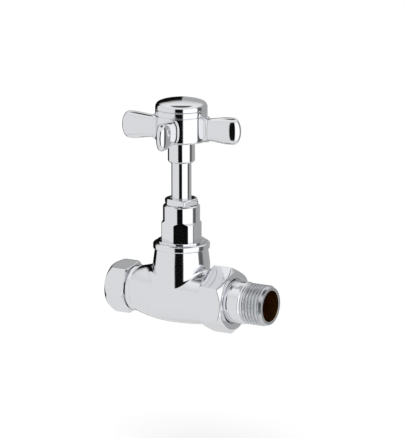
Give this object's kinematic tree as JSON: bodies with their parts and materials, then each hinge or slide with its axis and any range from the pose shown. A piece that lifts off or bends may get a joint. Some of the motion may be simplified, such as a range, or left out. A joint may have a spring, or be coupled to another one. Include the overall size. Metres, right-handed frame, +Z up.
{
  "type": "straight radiator valve",
  "caption": "Chromed straight radiator valve with a cross handle, a compression joint for the pipe and a union tail for the radiator.",
  "frame": {"origin": "where the axis of the pipe and tail crosses the axis of the spindle", "axes": "+X along the pipe axis towards the radiator, +Z up the spindle towards the handle, +Y across"},
  "size_m": [0.0923, 0.0628, 0.1191],
  "materials": {
    "chrome": "polished",
    "brass": "satin",
    "rubber": "matte",
    "packing": "matte",
    "steel": "satin"
  },
  "bodies": {
    "valve": {"valve_body": "chrome", "bonnet": "chrome", "bonnet_seal": "rubber", "gland_packing": "packing", "gland_washer": "brass", "gland_nut": "chrome"},
    "disc": {"jumper": "brass", "seat_washer": "rubber", "washer_nut": "brass", "jumper_clip": "steel"},
    "handle": {"spindle": "chrome", "crosshead": "chrome", "spring_washer": "steel", "handle_screw": "steel", "cap": "chrome"},
    "ring": {"olive": "brass"},
    "pipe_nut": {"compression_nut": "chrome"},
    "tail": {"union_tail": "chrome", "union_seal": "rubber"},
    "collar_nut": {"union_nut": "chrome"}
  },
  "joints": [
    {"name": "disc_lift", "type": "slide", "parent": "valve", "child": "disc", "axis": [0, 0, 1], "range_m": [0, 0.006]},
    {"name": "handle_turn", "type": "hinge", "parent": "disc", "child": "handle", "pos_m": [0, 0, 0], "axis": [0, 0, 1], "range_deg": [0, 1080]},
    {"name": "olive_slide", "type": "slide", "parent": "valve", "child": "ring", "axis": [-1, 0, 0], "range_m": [0, 0.00544]},
    {"name": "pipe_nut_turn", "type": "hinge", "parent": "ring", "child": "pipe_nut", "pos_m": [0, 0, 0], "axis": [-1, 0, 0], "range_deg": [0, 1080]},
    {"name": "tail_slide", "type": "slide", "parent": "valve", "child": "tail", "axis": [1, 0, 0], "range_m": [0, 0.00544]},
    {"name": "union_nut_turn", "type": "hinge", "parent": "tail", "child": "collar_nut", "pos_m": [0, 0, 0], "axis": [1, 0, 0], "range_deg": [0, 1080]}
  ],
  "couplings": [
    {"joint": "handle_turn", "follows": "disc_lift", "rad_per_m": 3141.6},
    {"joint": "pipe_nut_turn", "follows": "olive_slide", "rad_per_m": 3463.7},
    {"joint": "union_nut_turn", "follows": "tail_slide", "rad_per_m": 3463.7}
  ]
}
